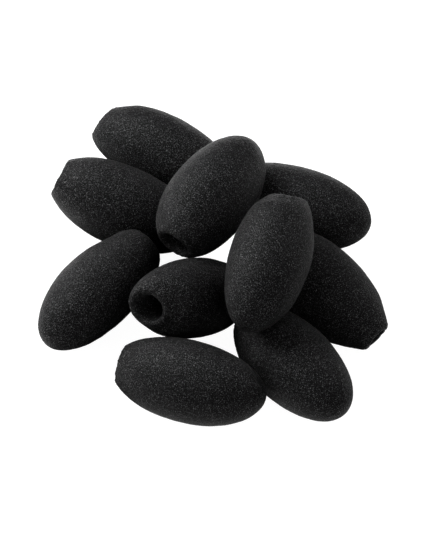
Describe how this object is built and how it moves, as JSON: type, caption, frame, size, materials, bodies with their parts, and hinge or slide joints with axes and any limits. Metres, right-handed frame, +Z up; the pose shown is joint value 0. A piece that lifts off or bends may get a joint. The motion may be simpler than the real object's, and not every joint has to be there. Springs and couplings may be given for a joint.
{
  "type": "foam microphone windscreens",
  "caption": "Set of loose egg-shaped black foam windscreens with blind bores for small clip-on microphones, heaped in two layers.",
  "frame": {"origin": "on the floor under the middle of the heap's bounding box", "axes": "+Z up from the floor, +Y from the front of the heap to its back, +X to the right"},
  "size_m": [0.1068, 0.1228, 0.0492],
  "materials": {
    "foam": "matt open-cell polyurethane foam"
  },
  "bodies": {
    "back_left": {"windscreen_back_left": "foam"},
    "left": {"windscreen_left": "foam"},
    "top_centre": {"windscreen_top_centre": "foam"},
    "front_left": {"windscreen_front_left": "foam"},
    "centre": {"windscreen_centre": "foam"},
    "top_right": {"windscreen_top_right": "foam"},
    "back_right": {"windscreen_back_right": "foam"},
    "right": {"windscreen_right": "foam"},
    "front": {"windscreen_front": "foam"},
    "front_right": {"windscreen_front_right": "foam"}
  },
  "joints": [
    {"name": "slide_out_back_left", "type": "slide", "parent": "centre", "child": "back_left", "axis": [0, 1, 0], "range_m": [0, 0.06]},
    {"name": "slide_out_left", "type": "slide", "parent": "centre", "child": "left", "axis": [-0.9848, 0.1736, 0], "range_m": [0, 0.06]},
    {"name": "slide_out_front_left", "type": "slide", "parent": "centre", "child": "front_left", "axis": [-0.7071, -0.7071, 0], "range_m": [0, 0.06]},
    {"name": "slide_out_back_right", "type": "slide", "parent": "centre", "child": "back_right", "axis": [0.866, 0.5, 0], "range_m": [0, 0.06]},
    {"name": "slide_out_right", "type": "slide", "parent": "centre", "child": "right", "axis": [0.9397, -0.342, 0], "range_m": [0, 0.06]},
    {"name": "slide_out_front", "type": "slide", "parent": "centre", "child": "front", "axis": [-0.0872, -0.9962, 0], "range_m": [0, 0.06]},
    {"name": "slide_out_front_right", "type": "slide", "parent": "centre", "child": "front_right", "axis": [0.6428, -0.766, 0], "range_m": [0, 0.06]},
    {"name": "lift_top_centre", "type": "slide", "parent": "centre", "child": "top_centre", "axis": [0, 0, 1], "range_m": [0, 0.06]},
    {"name": "lift_top_right", "type": "slide", "parent": "centre", "child": "top_right", "axis": [0, 0, 1], "range_m": [0, 0.06]}
  ]
}
